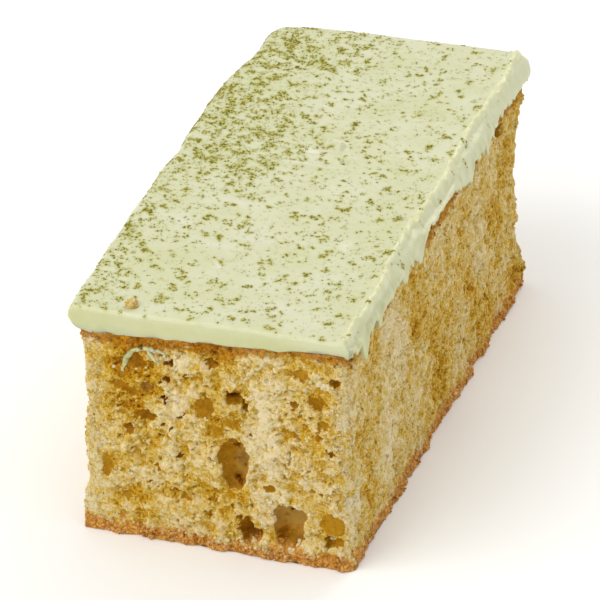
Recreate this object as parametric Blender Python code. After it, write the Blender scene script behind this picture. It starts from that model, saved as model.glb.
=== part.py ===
"""Iced green tea cake: one bar, cut by knife from a tray-baked sheet.

It is built the way the real bar is made, as two solids. The sponge has torn, craggy cut sides with
open bubbles in them and a flat baked foot. The slab of icing lies on it: rounded along the left and
the back, cut sheer at the front, and dragged over the right side by the knife, which left a ridge
and drips there. Clumps of tea powder are fused to the icing.

The bar lies along Y, with its shown cut end towards -Y. Z is up, and the baked foot is at Z = 0.
"""

import math
import random

import bmesh
import bpy
from mathutils import Vector, noise

MM = 0.001

# Driving dimensions of the bar. The icing overhangs the sponge at the left and the back, so the
# sponge's middle stands a little off the middle of the whole bar, which is the origin.
WIDTH = 50.0 * MM
LENGTH = 108.0 * MM
HEIGHT = 41.8 * MM
RISE_TO_RIGHT = 1.6 * MM
ICING_THICKNESS = 3.9 * MM
SPONGE_MIDDLE = Vector((1.2 * MM, -1.4 * MM, 0.0))

# How finely each solid is faceted.
COLUMNS_ACROSS = 25
COLUMNS_ALONG = 42
LEVELS = 17
ICING_STATIONS = 72
TOP_COLUMNS = 8
CLUMPS = 96


def smooth_step(start, end, value):
    """0 before start, 1 after end, and an S between them."""
    t = min(1.0, max(0.0, (value - start) / (end - start)))
    return t * t * (3.0 - 2.0 * t)


def mound(distance, reach):
    """A bell that is 1 at distance 0 and has all but gone at twice its reach."""
    return math.exp(-((distance / reach) ** 2))


def material(name, colour, roughness):
    made = bpy.data.materials.new(name)
    made.use_nodes = True
    shader = made.node_tree.nodes["Principled BSDF"]
    shader.inputs["Base Color"].default_value = (*colour, 1.0)
    shader.inputs["Roughness"].default_value = roughness
    shader.inputs["Metallic"].default_value = 0.0
    made.diffuse_color = (*colour, 1.0)
    return made


def loft(name, rings, finish):
    """Skins closed rings of equally many points, which run anticlockwise seen from the last one."""
    mesh = bmesh.new()
    loops = [[mesh.verts.new(point) for point in ring] for ring in rings]
    count = len(rings[0])
    for lower, upper in zip(loops, loops[1:]):
        for i in range(count):
            j = (i + 1) % count
            mesh.faces.new((lower[i], lower[j], upper[j], upper[i]))
    mesh.faces.new(reversed(loops[0]))
    mesh.faces.new(loops[-1])
    data = bpy.data.meshes.new(name)
    mesh.to_mesh(data)
    mesh.free()
    data.materials.append(finish)
    made = bpy.data.objects.new(name, data)
    made.location = SPONGE_MIDDLE
    bpy.context.scene.collection.objects.link(made)
    return made


# ---------------------------------------------------------------- the sponge

FOOT_SPREAD = 1.1 * MM  # how far the baked foot stands out from the wall above it
FOOT_HEIGHT = 5.0 * MM
WALL_STARTS = 12.0 * MM
LEAN_RIGHT = 1.9 * MM  # the right side was cut leaning in by this much at the top
CORNER_CRUMBLED = 1.3 * MM  # lost from the back right edge between foot and top
CRUMB_LEFT = 1.0 * MM  # at the back right, loose crumb still stands out just under the icing
TOP_BAND = 5.0 * MM  # under the icing the crumb was pressed flat by the knife
CRAG_OUT, CRAG_IN = 0.55 * MM, 1.7 * MM
LARGE_CRAG, SMALL_CRAG = 5.5 * MM, 2.4 * MM
SHIFT = 0.55 * MM  # crags are moved this far sideways, off any regular grid


def sponge_top(x):
    """Height of the sponge's top, which is flat but rises to the right."""
    return HEIGHT + RISE_TO_RIGHT * x / (WIDTH / 2)


def wall_insets(x_side, y_side, along_side, z):
    """How far the walls stand in from the foot's outline at height z, along X and along Y."""
    above_foot = smooth_step(FOOT_HEIGHT, WALL_STARTS, z)
    near_top = smooth_step(0.75 * HEIGHT, HEIGHT, z)
    across = along = 0.0
    if x_side > 0:
        across = LEAN_RIGHT * z / HEIGHT
        across -= CRUMB_LEFT * mound(z - 0.9 * HEIGHT, 0.1 * HEIGHT) * smooth_step(0.8, 1.0, along_side)
    elif x_side < 0:
        across = FOOT_SPREAD * (above_foot - 0.7 * near_top)
    if y_side > 0:
        along = FOOT_SPREAD * (1.4 * above_foot - 0.6 * near_top)
        if x_side > 0:
            across += CORNER_CRUMBLED * (above_foot - near_top)
    return across, along


def crag(point, z, top):
    """Relief of the torn crumb: how far a point of the wall stands out (or in, when negative)."""
    large = noise.noise(point / LARGE_CRAG)
    small = noise.noise(point / SMALL_CRAG + Vector((7.3, 1.9, 4.1)))
    relief = (1.5 * large + 1.1 * small - 0.15) * MM
    outwards = CRAG_OUT * smooth_step(0.0, TOP_BAND, top - z)
    inwards = CRAG_IN * (0.25 + 0.75 * smooth_step(0.0, FOOT_HEIGHT, z))
    return max(-inwards, min(outwards, relief))


def outline():
    """Walks round the bar's outline: position and side, each from -1 to 1, of every column."""
    walk = [(-1 + 2 * i / COLUMNS_ACROSS, -1) for i in range(COLUMNS_ACROSS)]
    walk += [(1, -1 + 2 * i / COLUMNS_ALONG) for i in range(COLUMNS_ALONG)]
    walk += [(1 - 2 * i / COLUMNS_ACROSS, 1) for i in range(COLUMNS_ACROSS)]
    walk += [(-1, 1 - 2 * i / COLUMNS_ALONG) for i in range(COLUMNS_ALONG)]
    return walk


def sponge_ring(level):
    """The wall's points at one level, from the foot (0) to the top (LEVELS)."""
    ring = []
    for across, along in outline():
        x_side = math.copysign(1, across) if abs(across) == 1 else 0
        y_side = math.copysign(1, along) if abs(along) == 1 else 0
        x, y = across * WIDTH / 2, along * LENGTH / 2
        top = sponge_top(x)
        z = top * level / LEVELS
        shift = noise.noise_vector(Vector((x, y, z)) / SMALL_CRAG) * SHIFT
        if not x_side:
            x += shift.x
        if not y_side:
            y += shift.y
        if 0 < level < LEVELS:
            z += shift.z
        inset_x, inset_y = wall_insets(x_side, y_side, along, z)
        relief = crag(Vector((x, y, z)), z, top)
        outwards = Vector((x_side, y_side)).normalized() * relief
        x += outwards.x - x_side * inset_x
        y += outwards.y - y_side * inset_y
        if level == LEVELS:
            z = sponge_top(x)
        ring.append(Vector((x, y, z)))
    return ring


# The open bubbles of the front end: place across and up the face, width, height and depth, in MM.
FRONT_BUBBLES = (
    (2.9, 17.9, 6.4, 10.8, 4.6),
    (6.2, 4.3, 4.6, 6.0, 5.5),
    (12.8, 6.6, 6.0, 9.8, 3.6),
    (3.4, 31.1, 4.6, 4.5, 3.4),
    (-2.5, 28.4, 4.2, 4.9, 1.9),
    (-0.9, 37.2, 3.2, 2.6, 2.2),
    (20.0, 9.6, 5.4, 4.6, 1.6),
    (-20.3, 13.9, 3.3, 7.1, 1.5),
    (-12.7, 30.6, 3.0, 2.8, 1.8),
    (-16.6, 27.9, 5.6, 2.4, 1.4),
    (14.6, 38.4, 5.4, 2.3, 1.2),
    (18.0, 33.2, 3.4, 2.7, 1.3),
)
BACK_BUBBLES = 7


def bubbles():
    """Every open bubble: its centre on an end face, and its half sizes. The hidden end's are drawn."""
    found = []
    for x, z, width, height, depth in FRONT_BUBBLES:
        centre = Vector((x * MM, -LENGTH / 2, z * MM))
        found.append((centre, Vector((width / 2, depth, height / 2)) * MM))
    draw = random.Random(11)
    for i in range(BACK_BUBBLES):
        x = (-20 + 40 * (i + draw.uniform(0.2, 0.8)) / BACK_BUBBLES) * MM
        z = draw.uniform(7, 34) * MM
        size = Vector((draw.uniform(1.4, 2.6), draw.uniform(3.0, 4.4), draw.uniform(1.6, 3.6)))
        found.append((Vector((x, LENGTH / 2, z)), size * MM))
    return found


def bubble_cutters():
    """Lumpy egg shapes, one for each open bubble, kept as cutters that aren't part of the bar."""
    cutters = bpy.data.collections.new("bubble cutters")
    bpy.context.scene.collection.children.link(cutters)
    for number, (centre, half) in enumerate(bubbles()):
        mesh = bmesh.new()
        bmesh.ops.create_icosphere(mesh, subdivisions=2, radius=1.0)
        for vert in mesh.verts:
            lump = 1.0 + 0.45 * noise.noise(vert.co * 1.4 + Vector((number * 5.1, 0, 0)))
            vert.co = Vector(a * b * lump for a, b in zip(vert.co, half))
        name = f"bubble_{number}"
        data = bpy.data.meshes.new(name)
        mesh.to_mesh(data)
        mesh.free()
        cutter = bpy.data.objects.new(name, data)
        cutter.location = SPONGE_MIDDLE + centre
        cutter.hide_render = True
        cutter.display_type = "WIRE"
        cutters.objects.link(cutter)
    return cutters


def make_sponge():
    crumb = material("sponge crumb", (0.50, 0.34, 0.14), 0.9)
    rings = [sponge_ring(level) for level in range(LEVELS + 1)]
    sponge = loft("sponge", rings, crumb)
    opened = sponge.modifiers.new("open bubbles", "BOOLEAN")
    opened.operation = "DIFFERENCE"
    opened.operand_type = "COLLECTION"
    opened.solver = "MANIFOLD"
    opened.collection = bubble_cutters()
    return sponge


# ----------------------------------------------------------------- the icing

GAP = 0.3 * MM  # between the sponge's top and the icing's underside
FRONT = -LENGTH / 2 - 0.2 * MM
BACK = LENGTH / 2 + 3.4 * MM
BACK_BOW = 2.6 * MM  # the back edge falls this far short at its left end
LEFT = -WIDTH / 2 - 2.7 * MM
CREST = 22.3 * MM  # the ridge along the right side
CREST_HEIGHT = 0.55 * MM
SIDE_OUT = 24.4 * MM  # the dragged side's outer face
SIDE_IN = 23.5 * MM  # its inner face, clear of the sponge
FOOT_LINE = 42.6 * MM  # the foot of the dragged side, between drips
EDGE_ROUND = 3.0 * MM
LEFT_CORNER, RIGHT_CORNER = 6.5 * MM, 2.4 * MM  # radii of the back corners

# Drips that the knife pulled down the right side: place along Y, how far down and half width, in MM.
DRIPS = (
    (-46.0, 4.2, 1.3),
    (-37.5, 2.0, 1.1),
    (-22.5, 2.2, 1.3),
    (-14.0, 3.0, 1.8),
    (14.5, 2.2, 2.6),
    (18.0, 3.2, 1.2),
    (28.0, 2.4, 1.2),
)

# Marks that the palette knife and fingers left in the top: X, Y, height, and reach in X and Y, in MM.
MARKS = (
    (1.6, 11.3, 0.9, 1.3, 1.7),
    (-1.6, 10.6, -0.6, 2.6, 3.4),
    (-3.5, 4.0, 0.35, 5.5, 1.6),
    (3.9, 6.6, -0.5, 1.0, 0.9),
    (-4.0, -20.6, -0.6, 5.0, 4.4),
    (-9.2, -27.2, -0.3, 3.0, 1.6),
    (-5.5, -34.2, -0.5, 1.5, 1.5),
    (12.5, -22.0, 0.35, 1.2, 2.4),
    (-14.0, 22.0, -0.4, 6.0, 9.0),
    (-18.0, 44.0, -0.5, 6.0, 6.0),
)


def left_edge(y):
    """The left edge's X: furthest out along the middle, with a shallow bay in it, and in at the ends."""
    at_front = 0.7 * smooth_step(-22.0 * MM, -50.0 * MM, y)
    at_back = 2.3 * smooth_step(31.0 * MM, 46.0 * MM, y)
    bay = 0.4 * mound(y - 7.0 * MM, 5.0 * MM)
    return LEFT + (at_front + at_back + bay + 0.12 * math.sin(y / (2.3 * MM))) * MM


def back_edge(x):
    return BACK - BACK_BOW * ((x - 9.0 * MM) / (36.0 * MM)) ** 2


def crest_x(y):
    front = 0.7 * MM * smooth_step(-15.0 * MM, -45.0 * MM, y)
    return CREST + front + 0.3 * MM * math.sin(y / (6.3 * MM) + 1.0)


def foot_z(y):
    """The dragged side's foot: a wavering line with sharp drips."""
    drop = sum(deep * mound(y - place * MM, half * MM) for place, deep, half in DRIPS)
    waver = 0.25 * math.sin(y / (1.9 * MM)) + 0.2 * math.sin(y / (0.83 * MM) + 2.0)
    return FOOT_LINE - (drop + waver) * MM


def icing_top(x, y):
    """Height of the spread top, without the ridge and the rounded edges."""
    along = (y - FRONT) / (BACK - FRONT)
    height = 45.6 * MM + 0.35 * MM * x / (WIDTH / 2) + 1.3 * MM * along**1.3
    height += 0.22 * MM * math.sin(x / (7.5 * MM) + 0.8) * math.sin(y / (11.0 * MM) + 0.4)
    for mark_x, mark_y, tall, reach_x, reach_y in MARKS:
        across = (x - mark_x * MM) / (reach_x * MM)
        down = (y - mark_y * MM) / (reach_y * MM)
        height += tall * MM * math.exp(-across * across - down * down)
    return height


def round_corner(x, y, corner_x, corner_y, radius, side):
    """Moves a point of the square back corner at (corner_x, corner_y) onto a round one."""
    across = side * (x - corner_x) / radius + 1.0
    along = (y - corner_y) / radius + 1.0
    if across <= 0.0 or along <= 0.0:
        return x, y
    new_across = across * math.sqrt(1.0 - along * along / 2.0)
    new_along = along * math.sqrt(1.0 - across * across / 2.0)
    return corner_x + side * (new_across - 1.0) * radius, corner_y + (new_along - 1.0) * radius


def section(y):
    """The icing's cross-section at y as (x, z) points: underside, round left edge, top, ridge, side."""
    left, crest = left_edge(y), crest_x(y)
    foot = foot_z(y)
    reach = EDGE_ROUND * 0.75
    start, end = left + reach, crest - 1.9 * MM
    columns = [start + (end - start) * i / TOP_COLUMNS for i in range(TOP_COLUMNS + 1)]
    points = [(x, sponge_top(x) + GAP) for x in reversed(columns)]
    middle = (icing_top(left + reach, y) + sponge_top(left + reach) + GAP) / 2
    for degrees in (-48, -8, 30, 62):
        turn = math.radians(degrees)
        rise = math.sin(turn) * (icing_top(left + reach, y) - middle)
        points.append((left + reach * (1 - math.cos(turn)), middle + rise))
    points += [(x, icing_top(x, y)) for x in columns]
    tall = CREST_HEIGHT * (1.0 + 0.5 * math.sin(y / (3.7 * MM)))
    top = icing_top(crest, y)
    points.append((crest - 0.8 * MM, top + 0.45 * tall))
    points.append((crest, top + tall))
    points.append((crest + 0.75 * MM, top - 0.25 * MM))
    points.append((SIDE_OUT - 0.45 * MM, top - 1.5 * MM))
    points.append((SIDE_OUT, foot + 0.27 * (top - foot)))
    points.append((SIDE_OUT - 0.15 * MM, foot + 0.3 * MM))
    points.append((SIDE_IN + 0.25 * MM, foot))
    points.append((SIDE_IN, foot + 0.35 * MM))
    inner = max(foot + 0.6 * MM, sponge_top(SIDE_IN) + GAP)
    points.append((SIDE_IN - 0.1 * MM, inner))
    return points


def icing_ring(share):
    """The cross-section at a share of the way from the front cut to the back edge."""
    flat_y = FRONT + share * (BACK - FRONT)
    ring = []
    for x, z in section(flat_y):
        y = FRONT + share * (back_edge(x) - FRONT)
        to_back = min(1.0, max(0.0, (back_edge(x) - y) / EDGE_ROUND))
        swell = 0.15 + 0.85 * math.sqrt(1.0 - (1.0 - to_back) ** 2)
        middle = (icing_top(x, flat_y) + sponge_top(x) + GAP) / 2
        if share > 0.5:
            z = middle + (z - middle) * swell
        x, y = round_corner(x, y, left_edge(flat_y), back_edge(left_edge(flat_y)), LEFT_CORNER, -1)
        x, y = round_corner(x, y, SIDE_OUT, back_edge(SIDE_OUT), RIGHT_CORNER, 1)
        ring.append(Vector((x, y, z)))
    return ring


def station_shares():
    """Even stations along the bar, closing up towards the rounded back edge."""
    even = [i / ICING_STATIONS for i in range(ICING_STATIONS)]
    last = 1.0 - 1.0 / ICING_STATIONS
    return even + [last + (1.0 - last) * step for step in (0.5, 0.85, 1.0)]


# ---------------------------------------------------- clumps of tea powder


# Where the powder fell thickest: X, Y, how thick against the even dusting, and reach, in MM.
DRIFTS = ((-17.0, 40.0, 3.2, 9.0), (-18.0, 20.0, 3.2, 9.0), (-15.0, 6.0, 3.4, 9.0), (-8.0, 16.0, 1.6, 8.0))


def powder_share(x, y):
    """How thickly powder lies at a place, from 0 to 1."""
    thick = 0.55
    for drift_x, drift_y, extra, reach in DRIFTS:
        apart = math.hypot(x - drift_x * MM, y - drift_y * MM)
        thick += extra * mound(apart, reach * MM)
    return min(1.0, thick / 3.6)


def clump_places(icing):
    """Places on the icing for the largest clumps, drawn by the dusting's thickness and kept apart."""
    draw = random.Random(5)
    places = []
    while len(places) < CLUMPS:
        x = draw.uniform(-23.0, 20.0) * MM
        y = draw.uniform(-52.0, 51.0) * MM
        size = draw.uniform(0.45, 0.8) * MM
        if draw.random() > powder_share(x, y):
            continue
        if any(math.hypot(x - px, y - py) < size + other + 0.3 * MM for px, py, _, other in places):
            continue
        hit, point, _, _ = icing.ray_cast(Vector((x, y, 0.1)), Vector((0, 0, -1)))
        if hit:
            places.append((x, y, point.z, size))
    return places


def add_powder(icing):
    """Fuses low, lumpy clumps to the icing's top."""
    draw = random.Random(8)
    clumps = bpy.data.collections.new("powder clumps")
    bpy.context.scene.collection.children.link(clumps)
    for number, (x, y, z, size) in enumerate(clump_places(icing)):
        mesh = bmesh.new()
        bmesh.ops.create_icosphere(mesh, subdivisions=1, radius=1.0)
        stretch = Vector((draw.uniform(0.8, 1.25), draw.uniform(0.7, 1.1), 0.55)) * size
        for vert in mesh.verts:
            lump = draw.uniform(0.8, 1.15)
            vert.co = Vector(a * b * lump for a, b in zip(vert.co, stretch))
        name = f"clump_{number}"
        data = bpy.data.meshes.new(name)
        mesh.to_mesh(data)
        mesh.free()
        clump = bpy.data.objects.new(name, data)
        clump.rotation_euler.z = draw.uniform(0, math.tau)
        clump.location = icing.location + Vector((x, y, z))
        clumps.objects.link(clump)
    join = icing.modifiers.new("fused powder", "BOOLEAN")
    join.operation = "UNION"
    join.operand_type = "COLLECTION"
    join.solver = "MANIFOLD"
    join.collection = clumps
    bpy.context.view_layer.objects.active = icing
    bpy.ops.object.modifier_apply(modifier=join.name)
    for clump in list(clumps.objects):
        bpy.data.objects.remove(clump)
    bpy.data.collections.remove(clumps)


def make_icing():
    cream = material("pale green icing", (0.70, 0.72, 0.40), 0.45)
    icing = loft("icing", [icing_ring(share) for share in station_shares()], cream)
    icing.data.shade_smooth()
    bpy.context.view_layer.update()
    add_powder(icing)
    icing.data.set_sharp_from_angle(angle=math.radians(40))
    return icing


for leftover in list(bpy.data.objects):
    bpy.data.objects.remove(leftover)
make_sponge()
make_icing()
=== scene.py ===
"""A bar of iced green tea cake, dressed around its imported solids."""

import math
import random
from itertools import product

import bpy
import numpy as np
from mathutils import Matrix, Vector, noise
from mathutils.bvhtree import BVHTree
from mathutils.kdtree import KDTree


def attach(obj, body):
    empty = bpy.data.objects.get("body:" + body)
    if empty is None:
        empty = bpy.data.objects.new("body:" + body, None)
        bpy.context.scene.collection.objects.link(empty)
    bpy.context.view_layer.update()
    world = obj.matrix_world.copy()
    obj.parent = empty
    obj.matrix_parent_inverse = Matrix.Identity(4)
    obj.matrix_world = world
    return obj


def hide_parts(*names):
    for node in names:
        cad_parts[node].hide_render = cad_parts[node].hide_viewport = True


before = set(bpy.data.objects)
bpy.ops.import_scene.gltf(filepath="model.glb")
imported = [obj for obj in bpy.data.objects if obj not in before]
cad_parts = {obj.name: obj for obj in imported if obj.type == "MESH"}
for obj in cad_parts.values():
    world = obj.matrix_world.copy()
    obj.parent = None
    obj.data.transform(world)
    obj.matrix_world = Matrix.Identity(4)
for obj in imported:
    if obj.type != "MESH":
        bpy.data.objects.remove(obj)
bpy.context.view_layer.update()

# ------------ the view
# The bar is seen from its front right, 30 degrees down, through a long lens, lying on a plain
# white table under soft light from all round and a large soft lamp at the front left.

MM = 0.001
SPONGE_MIDDLE = Vector((1.2 * MM, -1.4 * MM, 0.0))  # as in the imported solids
CAMERA_PLACE = Vector((286.47, -893.21, 562.55)) * MM
CAMERA_ROUND, CAMERA_DOWN = 17.917, 30.005

camera_data = bpy.data.cameras.new("camera")
camera_data.lens = 360.0
camera_data.sensor_fit = "HORIZONTAL"
camera_data.clip_end = 10.0
camera = bpy.data.objects.new("camera", camera_data)
camera.location = CAMERA_PLACE + SPONGE_MIDDLE
camera.rotation_euler = (math.radians(90 - CAMERA_DOWN), 0.0, math.radians(CAMERA_ROUND))
bpy.context.scene.collection.objects.link(camera)
bpy.context.scene.camera = camera
bpy.context.scene.view_settings.view_transform = "Standard"


def set_inputs(node, values):
    """Gives each input named a fixed value, or links another node's output to it."""
    for name, value in values.items():
        if isinstance(value, bpy.types.NodeSocket):
            node.id_data.links.new(value, node.inputs[name])
        else:
            node.inputs[name].default_value = value


def add_shape(add, name, location=(0.0, 0.0, 0.0), **sizes):
    """One of Blender's own shapes as a new object, the only one selected."""
    bpy.ops.object.select_all(action="DESELECT")
    add(location=location, **sizes)
    bpy.context.object.name = name
    return bpy.context.object


def soft_lamp(name, place, width, power, colour):
    """A square area lamp at place, in metres, aimed at the middle of the bar."""
    data = bpy.data.lights.new(name, "AREA")
    data.size = width
    data.energy = power
    data.color = colour
    lamp = bpy.data.objects.new(name, data)
    lamp.location = place
    lamp.rotation_euler = (Vector((0, 0, 0.02)) - lamp.location).to_track_quat("-Z", "Y").to_euler()
    bpy.context.scene.collection.objects.link(lamp)


world = bpy.data.worlds.new("soft white room")
world.use_nodes = True
set_inputs(world.node_tree.nodes["Background"], {"Color": (1.0, 1.0, 1.0, 1.0), "Strength": 0.76})
bpy.context.scene.world = world
soft_lamp("key lamp", Vector((-0.45, -0.55, 0.75)), 0.8, 5.2, (1.0, 0.98, 0.94))
soft_lamp("back lamp", Vector((0.15, 0.8, 0.6)), 0.5, 2.4, (1.0, 0.99, 0.97))

table = add_shape(bpy.ops.mesh.primitive_plane_add, "table", (0.0, 0.0, -0.1 * MM), size=4.0)
table_white = bpy.data.materials.new("matt white")
table_white.use_nodes = True
white = {"Base Color": (0.96, 0.96, 0.95, 1.0), "Roughness": 0.8}
set_inputs(table_white.node_tree.nodes["Principled BSDF"], white)
table.data.materials.append(table_white)

# ------------ the sponge
# The sponge is golden egg-and-butter crumb, baked in a tray and cut with a knife. Its skin is
# browned above and below. The cut tore it: pale granular flakes stand over moist golden hollows,
# with open bubbles of all sizes down to pinholes.

WIDTH, LENGTH, HEIGHT = 50.0 * MM, 108.0 * MM, 41.8 * MM
RISE_TO_RIGHT = 1.6 * MM
FOOT_SPREAD, FOOT_HEIGHT, WALL_STARTS = 1.1 * MM, 5.0 * MM, 12.0 * MM
LEAN_RIGHT = 1.9 * MM
CORNER_CRUMBLED, CRUMB_LEFT = 1.3 * MM, 1.0 * MM
TOP_BAND = 5.0 * MM
CRAG_OUT, CRAG_IN = 0.55 * MM, 1.7 * MM
LARGE_CRAG, SMALL_CRAG = 5.5 * MM, 2.4 * MM
# Each upright corner: its side, its end and how round it is.
CORNERS = ((1, -1, 2.2 * MM), (-1, -1, 0.7 * MM), (-1, 1, 1.6 * MM), (1, 1, 1.6 * MM))
PARTS_ACROSS, PARTS_ALONG, PARTS_UP = (13, 16), (20, 15), (25, 7)  # each edge is divided twice
MOST_TRIANGLES = 196000

# Lobes of the front end's open bubbles and pits, in MM: place across and up, width, height, depth,
# and from 0 to 1 how brown they are inside, which is partly painted shade deep in the hole, and how
# beige if they are.
FRONT_LOBES = (
    (2.9, 19.2, 6.2, 7.6, 2.6, 0.36), (3, 15.2, 4.4, 5.8, 2.6, 0.36, 0.1),
    (4.3, 18.4, 3.2, 6.6, 3, 0.3, 0.85), (3.3, 14.1, 1.4, 1.4, 3.9, 0.85),
    (2.9, 20.8, 1.4, 1.7, 3.8, 0.6), (3, 18, 0.9, 0.8, 3.6, 0.7), (4.6, 17, 0.7, 0.7, 3.6, 0.7),
    (4.8, 5.9, 2.8, 3.8, 2.2, 0.35), (5.9, 4.2, 4.4, 4.4, 3.2, 0.6),
    (13, 6.6, 5.8, 9.8, 2.1, 0.4, 0.6), (13.2, 9.2, 6.4, 4.6, 2, 0.2, 0.95),
    (13.8, 4.6, 2.8, 4.4, 2.5, 0.3, 0.2), (11.9, 4.6, 2.4, 3.8, 2.7, 0.6),
    (13.1, 10.4, 0.9, 0.8, 2.6, 0.8), (12.2, 8.6, 0.8, 0.8, 2.4, 0.4),
    (3, 31.2, 3.4, 3.2, 2.2, 0.4), (2.3, 31.4, 1.7, 1.7, 2.8, 0.7), (4.8, 29.8, 1.7, 2.6, 2.2, 0.5),
    (-2.3, 28.4, 3.8, 4.9, 1, 0.3), (-1, 37.2, 2.8, 2.3, 1.5, 0.4),
    (-0.4, 37.5, 1.3, 1.2, 2.2, 0.75), (21, 9, 5.2, 4.8, 0.8, 0.2), (21.9, 5.4, 3.2, 2, 0.9, 0.3),
    (-20.3, 13.8, 2, 6, 0.7, 0.2), (-12.9, 30.7, 2.3, 2.2, 1.3, 0.45, 0.3),
    (-9.8, 28.8, 1.2, 1.3, 1.6, 0.9), (-17.6, 30.2, 3.6, 2.4, 0.7, 0.3),
    (-15.4, 29.2, 3.6, 1.9, 0.9, 0.35), (-13.2, 24.9, 4.4, 2.3, 1.2, 0.5),
    (-16.2, 21.6, 2.4, 2.2, 0.9, 0.4), (-18.4, 26, 3, 1, 0.7, 0.45), (-14.6, 26.6, 1.6, 1, 1, 0.6),
    (-15, 35.6, 4.2, 3.2, 1, 0.5), (-9.4, 36, 2.4, 1.4, 1.2, 0.75),
    (-17.4, 32.9, 1.8, 1.6, 0.7, 0.35), (-7.2, 17.8, 1.3, 1.1, 1.3, 0.7),
    (0, 24, 2.6, 2.2, 0.8, 0.25), (2.6, 26.2, 4.2, 2.2, 0.7, 0.25),
    (14.6, 38, 4.4, 2.3, 0.7, 0.2, 0.1), (21.6, 37.5, 2.6, 1.6, 1.1, 0.5),
    (17.8, 33, 3.5, 2.4, 1, 0.4), (13.8, 31.6, 2, 1.6, 0.8, 0.35), (13, 26, 3.6, 1.7, 0.8, 0.3),
    (19.2, 28.6, 2.6, 2.2, 0.8, 0.3), (18.6, 26.3, 2, 1.4, 0.8, 0.4), (20.4, 23.3, 2, 2, 1.1, 0.5),
    (17, 15, 1.4, 1.2, 0.8, 0.25), (9.6, 13.9, 2, 1.6, 0.8, 0.25), (-6.1, 9.6, 1.8, 1.6, 0.7, 0.25),
    (-17, 7.5, 2.4, 1.6, 0.6, 0.2), (-11.2, 14.4, 1.2, 1.8, 0.9, 0.4),
    (-9.6, 32.6, 1.3, 1, 1.2, 0.75), (-10.4, 32.2, 0.6, 0.6, 1, 0.8), (-5.8, 34, 1, 1.6, 1.2, 0.7),
    (-10.2, 21.2, 1.6, 0.9, 0.9, 0.6), (-12.8, 22.3, 0.8, 0.7, 0.9, 0.7),
    (-9.7, 23.4, 0.6, 0.6, 0.9, 0.7), (-8.1, 23.2, 0.7, 0.6, 0.9, 0.6),
    (-7, 25.8, 0.8, 0.6, 0.9, 0.65), (-6, 26, 0.6, 0.6, 0.9, 0.65), (-15.9, 18, 1.4, 0.9, 0.8, 0.5),
    (-12.4, 11.8, 1, 0.7, 0.8, 0.5), (6, 24, 1, 0.8, 0.8, 0.45),
)

# Moist golden areas of the front and right, in MM: place, up, reach each way, and strength, which
# is below 0 for dry pale ones.
FRONT_AREAS = (
    (-23, 20, 4, 30, -0.1), (-17, 36.5, 5, 4.5, 0.85), (-15.5, 29.5, 4.5, 7, 0.75),
    (-9, 19, 4.5, 7, -0.22), (-8, 29, 3, 4, -0.35), (-14, 7.5, 8, 3.5, 0.3), (-2, 11, 7, 4, 0.35),
    (-1.5, 27.5, 3.5, 6, 0.45), (-1, 40, 6, 2.5, 0.7), (8.5, 28, 3, 14, -0.4), (9, 9, 2, 6, -0.3),
    (16, 34, 5.5, 6, 0.2), (15, 18, 6, 6, -0.25), (21, 8, 3, 4, 0.45), (23.5, 24, 2.5, 12, -0.2),
    (-6, 38, 5, 2, -0.4),
)
RIGHT_AREAS = (
    (-31, 12, 4, 8, -0.75), (-30, 36, 5, 4.5, -0.6), (-23, 28, 4, 5, -0.52), (26, 27, 4, 7, -0.68),
    (-50, 15, 3, 5, -0.6), (-52, 30, 2.5, 9, -0.45), (-43, 9, 3, 8, 0.6), (0, 9, 6, 7, 0.52),
    (-3, 20, 4, 3, 0.52), (20, 17, 3, 4, 0.9), (28, 8, 7, 5, 0.83), (37, 21, 2.5, 2.5, 0.6),
    (-13, 26, 3, 3, 0.45), (45, 30, 4, 8, 0.3), (48, 4, 6, 4, 0.75), (4, 42.5, 13, 2.2, 0.9),
)


def smooth_step(start, end, value):
    """0 before start, 1 after end, and an S between them."""
    t = np.clip((value - start) / (end - start), 0.0, 1.0)
    return t * t * (3.0 - 2.0 * t)


def mound(distance, reach):
    """A bell that is 1 at distance 0 and has all but gone at twice its reach."""
    return np.exp(-((distance / reach) ** 2))


def rough(points, size, octaves, seed):
    """Self-similar unevenness at each point, from about -1 to 1, largest at this size in MM."""
    off = Vector((seed * 3.7, seed * 1.3, seed * 2.9))
    places = points / (size * MM)
    return np.array([noise.fractal(Vector(p) + off, 0.7, 2.0, octaves) for p in places])


def ragged(points, size, reach, seed):
    """Points moved about, by reach in MM, so that what is shaped with them gets torn outlines."""
    moves = [rough(points, size, 3, seed + k) for k in range(3)]
    return points + np.stack(moves, axis=-1) * (reach * MM)


def draw_for(cells, seed):
    """A fixed random number, from 0 to 1, for each cell of a 3-D lattice."""
    whole = cells.astype(np.int64) & 0xFFFFF
    mixed = whole[..., 0] * 73856093 ^ whole[..., 1] * 19349663 ^ whole[..., 2] * 83492791
    mixed = (mixed ^ (seed * 668265263)) & 0xFFFFFFFF
    mixed = ((mixed ^ (mixed >> 15)) * 2246822519) & 0xFFFFFFFF
    mixed = ((mixed ^ (mixed >> 13)) * 3266489917) & 0xFFFFFFFF
    return ((mixed ^ (mixed >> 16)) & 0xFFFFFF) / 0x1000000


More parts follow.
